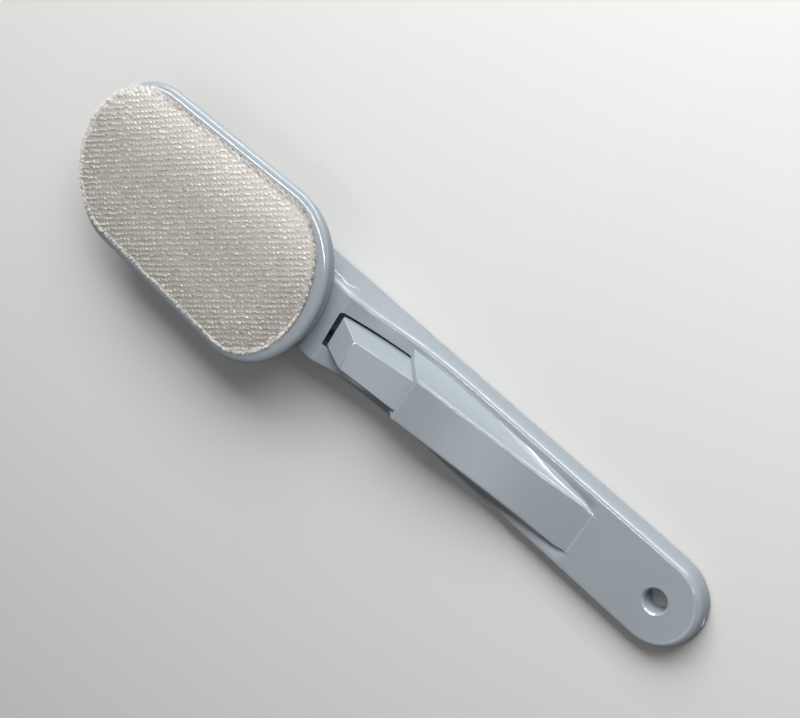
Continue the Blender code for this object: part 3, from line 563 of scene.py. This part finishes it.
buttonBm = hull(buttonPoints())
upper = [edge for edge in buttonBm.edges if any(vert.co.z > button["roundAbove"] for vert in edge.verts)]
bmesh.ops.bevel(buttonBm, geom=upper, offset=button["round"], offset_type="OFFSET",
                segments=button["roundSteps"], profile=0.5, affect="EDGES", clamp_overlap=True, material=-1)
flats = [face for face in buttonBm.faces if face.calc_area() > button["facet"]]
# a narrow inset keeps the facets flat beside their rounded edges
bmesh.ops.inset_individual(buttonBm, faces=flats, thickness=button["facetInset"], depth=0.0)
under = min(flats, key=lambda face: face.normal.z)
bmesh.ops.inset_region(buttonBm, faces=[under], thickness=button["wall"], depth=0.0)
raised = bmesh.ops.extrude_face_region(buttonBm, geom=[under])["geom"]
bmesh.ops.delete(buttonBm, geom=[under], context="FACES_ONLY")
bmesh.ops.translate(buttonBm, vec=(0, 0, button["hollow"]),
                    verts=[item for item in raised if isinstance(item, bmesh.types.BMVert)])
bmesh.ops.recalc_face_normals(buttonBm, faces=buttonBm.faces)
buttonShell = piece("lock_button_shell", buttonBm, plastic, "slider", smoothBelow=30)
standsFor("lock_button")
print("button made")


# Moulding flash: thin ragged threads left along the seam

flash = {   # a thread's point is its x, or its angle round the tail, its height off the seam and its radius
    "sides": 7, "proud": 0.5,               # share of the radius that stands proud of the wall
    "neck": ((0.0325, 0.0001, 0.00012), (0.0319, -0.0001, 0.00060), (0.0314, -0.0002, 0.00050),
             (0.0308, -0.0004, 0.00024), (0.0298, -0.0003, 0.00038), (0.0287, -0.0006, 0.00020),
             (0.0272, 0.0002, 0.00028), (0.0256, 0.0006, 0.00034), (0.0243, 0.0005, 0.00020),
             (0.0231, 0.0000, 0.00030), (0.0219, -0.0003, 0.00018), (0.0206, -0.0001, 0.00008)),
    "tail": ((188, 0.0000, 0.00006), (191, 0.0002, 0.00022), (194, -0.0001, 0.00030),
             (197, 0.0001, 0.00014), (201, 0.0000, 0.00006)),
}


def neckPoint(x, lift, radius):
    height = seamHeight(x) + lift
    out = reachAt(x) + flash["proud"] * radius - lean(x) * height
    return Vector((x, -out, height)), Vector((0, -1, 0)), radius


def tailPoint(angle, lift, radius):
    height = handle["seamGrip"] + lift
    outward = Vector((cos(radians(angle)), sin(radians(angle)), 0))
    reach = handle["tailRadius"] - handle["draft"] * height + flash["proud"] * radius
    return Vector((handle["tailX"], 0, height)) + reach * outward, outward, radius


def thread(rings):
    # closed tube through small rings, each of a middle, the wall's outward direction and a radius
    bm = bmesh.new()
    loops = []
    for middle, outward, radius in rings:
        ring = bmesh.ops.create_circle(bm, cap_ends=False, segments=flash["sides"], radius=radius)["verts"]
        for vert in ring:
            vert.co = middle + vert.co.x * outward + Vector((0, 0, vert.co.y))
        loops.append(list({edge for vert in ring for edge in vert.link_edges}))
    for first, second in zip(loops, loops[1:]):
        bmesh.ops.bridge_loops(bm, edges=first + second)
    bmesh.ops.contextual_create(bm, geom=loops[0])
    bmesh.ops.contextual_create(bm, geom=loops[-1])
    bmesh.ops.recalc_face_normals(bm, faces=bm.faces)
    return bm


# the threads take the lighter finish, a painted highlight
for name, rings in (("neck_flash", [neckPoint(*point) for point in flash["neck"]]),
                    ("tail_flash", [tailPoint(*point) for point in flash["tail"]])):
    piece(name, thread(rings), flashHighlightPlastic, "handle", smoothBelow=60)


# Lower shells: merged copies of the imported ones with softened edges

lower = {
    "round": 0.00020, "steps": 2, "sharpAbove": 38, "seamClear": 0.0003,
    "seamGap": 0.00015, "seamSlack": 0.00004, "seamRise": 0.00013,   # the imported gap, closed to a hairline
}


def mergedCopy(name):
    bm = bmesh.new()
    bm.from_mesh(frame["nodes"][name].data)
    bmesh.ops.remove_doubles(bm, verts=bm.verts, dist=merging["packed"])
    bmesh.ops.dissolve_limit(bm, angle_limit=radians(flatBelow["packed"]), verts=bm.verts, edges=bm.edges)
    return bm


for name in ("handle_base", "head_base"):
    bm = mergedCopy(name)
    sharp = [edge for edge in bm.edges if edge.calc_face_angle(0) > radians(lower["sharpAbove"])]
    if name == "handle_base":
        for vert in bm.verts:
            if abs(vert.co.z - seamHeight(vert.co.x) + lower["seamGap"]) < lower["seamSlack"]:
                vert.co.z += lower["seamRise"]
        sharp = [edge for edge in sharp
                 if edge.verts[0].co.z <= seamHeight(edge.verts[0].co.x) - lower["seamClear"]]
    bmesh.ops.bevel(bm, geom=sharp, offset=lower["round"], offset_type="OFFSET", segments=lower["steps"],
                    profile=0.5, affect="EDGES", clamp_overlap=True, material=-1)
    shell = piece(name + "_shell", bm, plastic, frame["nodes"][name]["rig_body"])
    shell.modifiers.new("flats", "WEIGHTED_NORMAL").keep_sharp = True
    standsFor(name)
print("lower shells made")


# Head: the tray with its rim, and the crowned fabric in it

head = {
    "reach": 0.0538, "nearHalf": 0.0344, "farHalf": 0.0321, "nearArc": 0.0266, "farArc": 0.0250,
    "seam": 0.0190, "seamGap": 0.00002, "footHeight": 0.0006, "footIn": 0.00064, "floor": 0.0200,
    "rim": 0.0216, "round": 0.0032, "arch": 0.0016, "archSteps": 14, "farShare": 0.3, "farRim": 0.0014,
    "lip": 0.00035,                         # clear strip between the fabric and the rim's inner edge
    "lipRound": ((0.0, 0.0002), (0.00005, 0.00008), (0.0002, 0.0)),   # depths and how far out each lies
    "floorIn": 0.012, "arcSteps": 300, "around": 220,
}
pad = {
    "side": 0.0038, "near": 0.0054, "far": 0.0002,   # rim left clear round the fabric
    "low": 0.0212, "edge": 0.0217, "crown": 0.0010, "crownWidth": 0.014, "crownCurve": 2.4, "crownSteps": 12,
    "footIn": 0.0004, "cornerHeight": 0.0002, "cornerIn": 0.0001, "fill": 0.9,
    "litSideFrom": 0.002, "litSideOver": 0.028,          # painted light: where the pile and its ground are coloured lighter, towards the lit side at -y
}
nearX = handle["swivelX"] - head["reach"] + head["nearArc"]
farX = handle["swivelX"] + head["reach"] - head["farArc"]


def headOutline(count, side, near, far):
    # points spaced evenly along the head's outline, moved in at its sides and at its two ends
    corners = []
    for middle, arc, half, turn in ((farX, head["farArc"] - far, head["farHalf"] - side, 0.0),
                                    (nearX, head["nearArc"] - near, head["nearHalf"] - side, pi)):
        for i in range(-head["arcSteps"], head["arcSteps"] + 1):
            angle = turn + pi * i / (2 * head["arcSteps"])
            corners.append(Vector((middle + arc * cos(angle), half * sin(angle))))
    corners.append(corners[0])
    lengths = [0.0]
    for a, b in zip(corners, corners[1:]):
        lengths.append(lengths[-1] + (b - a).length)
    points, step = [], 0
    for i in range(count):
        want = lengths[-1] * i / count
        while lengths[step + 1] < want:
            step += 1
        share = (want - lengths[step]) / (lengths[step + 1] - lengths[step])
        points.append(corners[step].lerp(corners[step + 1], share))
    return points


def ringBody(levels, count):
    # solid of rings on the head's outline; each level is height, side, near and far
    bm = bmesh.new()
    loops = []
    for height, side, near, far in levels:
        ring = bmesh.ops.create_circle(bm, cap_ends=False, segments=count, radius=1.0)["verts"]
        for vert, point in zip(ring, headOutline(count, side, near, far)):
            vert.co = (point.x, point.y, height)
        loops.append(list({edge for vert in ring for edge in vert.link_edges}))
    for first, second in zip(loops, loops[1:]):
        bmesh.ops.bridge_loops(bm, edges=first + second)
    bmesh.ops.contextual_create(bm, geom=loops[0])
    bmesh.ops.contextual_create(bm, geom=loops[-1])
    bmesh.ops.recalc_face_normals(bm, faces=bm.faces)
    return bm


def padMargin(x, y):
    # depth of a point inside the fabric's outline, negative outside it
    farHalf, nearHalf = head["farHalf"] - pad["side"], head["nearHalf"] - pad["side"]
    if x > farX:
        return (1 - hypot((x - farX) / (head["farArc"] - pad["far"]), y / farHalf)) * farHalf
    if x < nearX:
        return (1 - hypot((x - nearX) / (head["nearArc"] - pad["near"]), y / nearHalf)) * nearHalf
    return nearHalf + (farHalf - nearHalf) * (x - nearX) / (farX - nearX) - abs(y)


def padHeight(margin):
    share = min(max(margin / pad["crownWidth"], 0.0), 1.0)
    return pad["edge"] + pad["crown"] * (1 - (1 - share) ** pad["crownCurve"])


levels = [(head["seam"] + head["seamGap"], head["footIn"]), (head["seam"] + head["footHeight"], 0.0)]
for i in range(head["archSteps"] + 1):              # the rim is a flat arch from its side to the fabric
    turn = pi / 2 * i / head["archSteps"]
    levels.append((head["rim"] - head["arch"] * (1 - sin(turn)), head["round"] * (1 - cos(turn))))
levels = [(height, inset, inset, inset * head["farShare"]) for height, inset in levels]
inner = [(head["rim"] - depth, head["lip"] + out) for depth, out in head["lipRound"]]
for height, inset in inner + [(head["floor"], head["lip"])]:
    levels.append((height, pad["side"] - inset, pad["near"] - inset, head["farRim"] - inset))
levels.append((head["floor"], head["floorIn"], head["floorIn"], head["floorIn"]))
plate = piece("head_plate_shell", ringBody(levels, head["around"]), plastic, "head", smoothBelow=38)
standsFor("head_plate")
print("head plate made")


groundLook = {
    "speckle": (2100.0, 2.0), "cloud": (180.0, 2.0), "speckleShare": 0.65, "cloudShare": 0.35,
    # the lighter tone and its share are painted light, laid on the ground towards the lit side
    "dark": (0.24, 0.22, 0.20), "light": (0.46, 0.43, 0.39), "litSideTone": (0.78, 0.75, 0.70), "litSideMix": 0.32,
    "rough": 0.85, "speckleRough": 0.1, "speckleBump": (0.0002, 0.8),
}
pileLook = {
    "cloud": (62.0, 3.0), "dark": (0.27, 0.248, 0.225), "light": (0.99, 0.97, 0.94),
    "warm": (0.62, 0.53, 0.48), "warmShare": 0.20, "rough": 0.18, "cloudRough": 0.15, "ior": 1.5,
}


def groundFinish():
    look, paint = groundLook, Paint("knittedGround")
    speckle, cloud = paint.noise(*look["speckle"]), paint.noise(*look["cloud"])
    mixed = look["speckleShare"] * speckle + look["cloudShare"] * cloud
    tone = paint.blend(mixed, look["dark"], look["light"])
    across = paint.node("SeparateXYZ", {}, {"Vector": paint.place}, output="Y")
    # painted light: the ground is coloured lighter towards the lit side at -y
    litSide = paint.ramp((-1 / pad["litSideOver"]) * across, (0.0, 0.0), (1.0, 1.0))
    tone = paint.blend(look["litSideMix"] * litSide, tone, look["litSideTone"])
    rough = look["rough"] + look["speckleRough"] * speckle
    return paint.finish(Base_Color=tone, Roughness=rough, Normal=paint.bump(speckle, *look["speckleBump"]))


def pileFinish():
    look, paint = pileLook, Paint("directionalPile")
    tint = paint.node("Attribute", {"attribute_name": "tint"}, output="Fac")
    cloud = paint.noise(*look["cloud"])
    tone = paint.blend(tint, look["dark"], look["light"])
    tone = paint.blend(look["warmShare"] * cloud, tone, look["warm"])
    rough = look["rough"] + look["cloudRough"] * cloud
    return paint.finish(Base_Color=tone, Roughness=rough, IOR=look["ior"])


padLevels = [(pad["low"], pad["footIn"]), (pad["low"] + pad["cornerHeight"], 0.0),
             (pad["edge"] - pad["cornerHeight"], 0.0)]
for i in range(pad["crownSteps"] + 1):
    margin = pad["crownWidth"] * i / pad["crownSteps"]
    padLevels.append((padHeight(margin), margin + pad["cornerIn"]))
padBm = ringBody([(height, pad["side"] + inset, pad["near"] + inset, pad["far"] + inset)
                  for height, inset in padLevels], head["around"])
fabric = piece("lint_pad_fabric", padBm, groundFinish(), "head", smoothBelow=50)
standsFor("lint_pad")
print("fabric made")


# Pile: short leaning fibres in the knit's stitches, some loose ones, and tufts along the cut edge

fibre = {
    "rowA": (0.00111, -0.00143), "rowB": (0.00128, 0.00106), "rows": 60,   # steps between the stitches
    "scatter": 0.00010, "outside": 0.001, "inside": 0.00005,   # limits of a stitch's and a root's place
    "perStitch": 23, "spreadAlong": 0.00015, "spreadAcross": 0.00013, "swing": 0.25,
    # the tuft's middle is coloured lighter, a painted glint on top of each stitch's random tone
    "stitchBright": (0.0, 0.35), "glintBright": 0.65, "glintFade": 0.45,
    "loose": 1500, "looseBright": 0.4, "looseSwing": 0.5,
    "edge": 5600, "tuft": (16, 60), "tuftSwing": (0.5, 2.0), "tuftDepth": (0.0003, 0.0010),
    "edgeIn": 0.0001, "edgeBright": (0.2, 0.85),
    "length": (0.0009, 0.0013), "thick": 0.00010, "thickSpread": (0.7, 1.3), "spin": 2.0, "sunk": 0.0001,
    "heading": (1, -0.12), "headingSpread": 0.30, "lean": 64.0, "leanSpread": 0.17,
    "fringe": 0.0020, "outward": 0.8, "upright": 0.10,   # the border's fibres stand up and outwards
    "farOver": 0.010, "farLean": 0.45, "nearOver": 0.025,   # at the far end and on the camera's side
    "borderLonger": 0.2, "farLonger": 0.8, "nearLonger": 0.5,
    "shade": 0.85, "shadeSpread": 0.15, "shadeScale": 0.95,
    # painted light: how much lighter the fibres are coloured towards the lit side
    "litSide": 0.90, "litSideScale": 0.2, "litSideLift": 0.5,
    "probe": 0.0001,                        # step used to find the way out of the pad
}


def fibreRoots():
    # (x, y, margin, tone with painted glint, swing) of every fibre, stitch by stitch
    roots = []
    middle, rowA, rowB = Vector((handle["swivelX"], 0)), Vector(fibre["rowA"]), Vector(fibre["rowB"])

    def add(x, y, toneAndGlint, swing):
        margin = padMargin(x, y)
        if margin > fibre["inside"]:
            roots.append((x, y, margin, toneAndGlint, swing))

    for i in range(-fibre["rows"], fibre["rows"] + 1):
        for j in range(-fibre["rows"], fibre["rows"] + 1):
            stitch = middle + i * rowA + j * rowB
            stitch += Vector((random.gauss(0, fibre["scatter"]), random.gauss(0, fibre["scatter"])))
            if padMargin(stitch.x, stitch.y) < -fibre["outside"]:
                continue
            level, swing = random.uniform(*fibre["stitchBright"]), random.gauss(0, fibre["swing"])
            for _ in range(fibre["perStitch"]):
                along, across = random.gauss(0, 1), random.gauss(0, 1)
                # painted glint: fibres near the stitch's middle are coloured lighter, so each tuft shows a
                # bright dash
                glint = fibre["glintBright"] * max(1 - fibre["glintFade"] * hypot(along, across), 0.0)
                add(stitch.x + along * fibre["spreadAlong"], stitch.y + across * fibre["spreadAcross"],
                    level + glint, swing)
    for _ in range(fibre["loose"]):
        add(handle["swivelX"] + random.uniform(-1, 1) * head["reach"],
            random.uniform(-1, 1) * head["nearHalf"], fibre["looseBright"],
            random.gauss(0, fibre["looseSwing"]))
    edge = headOutline(fibre["edge"], pad["side"], pad["near"], pad["far"])
    while edge:
        size, most = random.randint(*fibre["tuft"]), random.uniform(*fibre["tuftSwing"])
        depth = random.uniform(*fibre["tuftDepth"])
        for i, point in enumerate(edge[:size]):
            point += (middle - point).normalized() * random.uniform(fibre["edgeIn"], depth)
            add(point.x, point.y, random.uniform(*fibre["edgeBright"]), most * (0.5 - i / size))
        edge = edge[size:]
    return roots


def fibrePlace(x, y, margin, toneAndGlint, swing):
    # where a fibre stands, the matrix that turns and scales its spike, and its shade
    border = 1 - min(margin / fibre["fringe"], 1.0)
    far = border * smoothStep((x - farX) / fibre["farOver"])
    near = border * smoothStep(-y / fibre["nearOver"])
    slopeX = padMargin(x + fibre["probe"], y) - padMargin(x - fibre["probe"], y)
    slopeY = padMargin(x, y + fibre["probe"]) - padMargin(x, y - fibre["probe"])
    outward = -Vector((slopeX, slopeY)).normalized()
    plan = Vector(fibre["heading"]) * (1 - fibre["outward"] * border) + outward * border
    heading = atan2(plan.y, plan.x) + swing + random.gauss(0, fibre["headingSpread"])
    tilt = (radians(fibre["lean"]) + random.gauss(0, fibre["leanSpread"]) - fibre["upright"] * border
            + fibre["farLean"] * far)
    longer = 1 + fibre["borderLonger"] * border + fibre["farLonger"] * far + fibre["nearLonger"] * near
    length = random.uniform(*fibre["length"]) * longer
    direction = Vector((sin(tilt) * cos(heading), sin(tilt) * sin(heading), cos(tilt)))
    turn = direction.to_track_quat("Z", "Y").to_matrix()
    thick = fibre["thick"] * random.uniform(*fibre["thickSpread"])
    spin = Matrix.Rotation(random.random() * fibre["spin"], 3, "Z")
    # painted light: fibres towards the lit side at -y are coloured lighter
    litSide = fibre["litSide"] * smoothStep((-y - pad["litSideFrom"]) / pad["litSideOver"])
    shade = fibre["shade"] * toneAndGlint + fibre["shadeSpread"] * random.random()
    shade = shade * (fibre["shadeScale"] + fibre["litSideScale"] * litSide) + fibre["litSideLift"] * litSide
    root = Vector((x, y, padHeight(margin) - fibre["sunk"]))
    return root, turn @ Matrix.Diagonal((thick, thick, length)) @ spin, min(shade, 1.0)


def pileMesh(roots):
    # one three-sided spike, doubled until there is one for each root, then each put in its place
    bm = bmesh.new()
    tint = bm.verts.layers.float.new("tint")
    number = bm.verts.layers.int.new("number")
    bmesh.ops.create_cone(bm, cap_ends=True, segments=3, radius1=1.0, radius2=0.0, depth=1.0)
    bmesh.ops.remove_doubles(bm, verts=bm.verts, dist=merging["spike"])
    bmesh.ops.translate(bm, vec=(0, 0, 0.5), verts=bm.verts)
    count = 1
    while count < len(roots):
        chosen = [vert for vert in bm.verts if vert[number] < len(roots) - count]
        faces = list({face: None for vert in chosen for face in vert.link_faces})
        edges = list({edge: None for vert in chosen for edge in vert.link_edges})
        made = bmesh.ops.duplicate(bm, geom=chosen + edges + faces)["geom"]
        for item in made:
            if isinstance(item, bmesh.types.BMVert):
                item[number] += count
        count *= 2
    places = [fibrePlace(*root) for root in roots]
    for vert in bm.verts:
        root, shape, shade = places[vert[number]]
        vert.co = root + shape @ vert.co
        vert[tint] = shade
    bm.verts.layers.int.remove(number)
    return bm


roots = fibreRoots()
pile = piece("lint_pad_pile", pileMesh(roots), pileFinish(), "head", smoothBelow=90)
print("fibres made:", len(roots))


# Stage, light and camera

view = {
    "place": (-0.19613, -0.33011, 0.56608),
    "right": (-0.714295, -0.467799, -0.520526),
    "down": (-0.638227, 0.740583, 0.210246),
    "ahead": (0.287140, 0.482392, -0.827556),
    "lens": 91.93, "sensor": 36,
}
axes = Matrix((view["right"], [-v for v in view["down"]], [-v for v in view["ahead"]])).transposed()
cameraData = bpy.data.cameras.new("camera")
cameraData.lens = view["lens"]
cameraData.sensor_width = view["sensor"]
cameraData.sensor_fit = "HORIZONTAL"
camera = bpy.data.objects.new("camera", cameraData)
camera.matrix_world = Matrix.Translation(view["place"]) @ axes.to_4x4()
bpy.context.scene.collection.objects.link(camera)
bpy.context.scene.camera = camera

studio = {
    "half": 3.0, "squares": 8, "drop": 0.0002, "rough": 0.8, "world": 0.17,
    "shown": (0.62, 0.62, 0.61), "bounced": (0.16, 0.16, 0.16),   # the floor bounces like a dark table
    "glossShare": 0.4,                      # how much of the shown floor the gloss mirrors
}
floorPaint = Paint("paleFloor")
seen = floorPaint.node("LightPath", output="Is Camera Ray")
seen += studio["glossShare"] * floorPaint.node("LightPath", output="Is Glossy Ray")
seen += floorPaint.node("LightPath", output="Is Transmission Ray")
floorTone = floorPaint.blend(seen, studio["bounced"], studio["shown"])
bm = bmesh.new()
bmesh.ops.create_grid(bm, x_segments=studio["squares"], y_segments=studio["squares"], size=studio["half"])
bmesh.ops.translate(bm, vec=(0, 0, -studio["drop"]), verts=bm.verts)
floor = piece("floor", bm, floorPaint.finish(Base_Color=floorTone, Roughness=studio["rough"]))

lamps = {   # the softboxes light the surfaces, the others only shine in the gloss
    "keySoftbox": {"place": (0.20, -0.76, 0.50), "width": 0.50, "length": 1.10, "power": 18.0},
    "fillSoftbox": {"place": (-0.55, 0.45, 0.70), "width": 0.80, "length": 0.80, "power": 0.3},
    "keyGloss": {"place": (0.22, -0.80, 0.44), "width": 0.44, "length": 1.10, "power": 4.5},
    "topStrip": {"place": (0.244, 0.034, 0.813), "width": 0.030, "length": 1.20, "power": 8.0},
    "sideStrip": {"place": (0.244, -0.646, 0.493), "width": 0.030, "length": 1.20, "power": 8.0},
    "hoodGloss": {"place": (-0.078, 0.498, 0.876), "width": 0.30, "length": 0.06, "power": 0.13},
}
for name, lamp in lamps.items():
    data = bpy.data.lights.new(name, "AREA")
    data.shape = "RECTANGLE"
    data.size, data.size_y = lamp["length"], lamp["width"]
    data.energy = lamp["power"]
    light = bpy.data.objects.new(name, data)
    light.visible_diffuse = name.endswith("Softbox")
    light.visible_glossy = not light.visible_diffuse
    back = Vector(lamp["place"]).normalized()
    side = (Vector((1, 0, 0)) - back * back.x).normalized()   # the lamp's long side lies along the handle
    turn = Matrix((side, back.cross(side), back)).transposed().to_4x4()
    light.matrix_world = Matrix.Translation(lamp["place"]) @ turn
    bpy.context.scene.collection.objects.link(light)

world = bpy.data.worlds.new("studio")
world.use_nodes = True
world.node_tree.nodes["Background"].inputs["Color"].default_value = (1, 1, 1, 1)
world.node_tree.nodes["Background"].inputs["Strength"].default_value = studio["world"]
bpy.context.scene.world = world
bpy.context.scene.view_settings.view_transform = "Standard"
print("stage made")
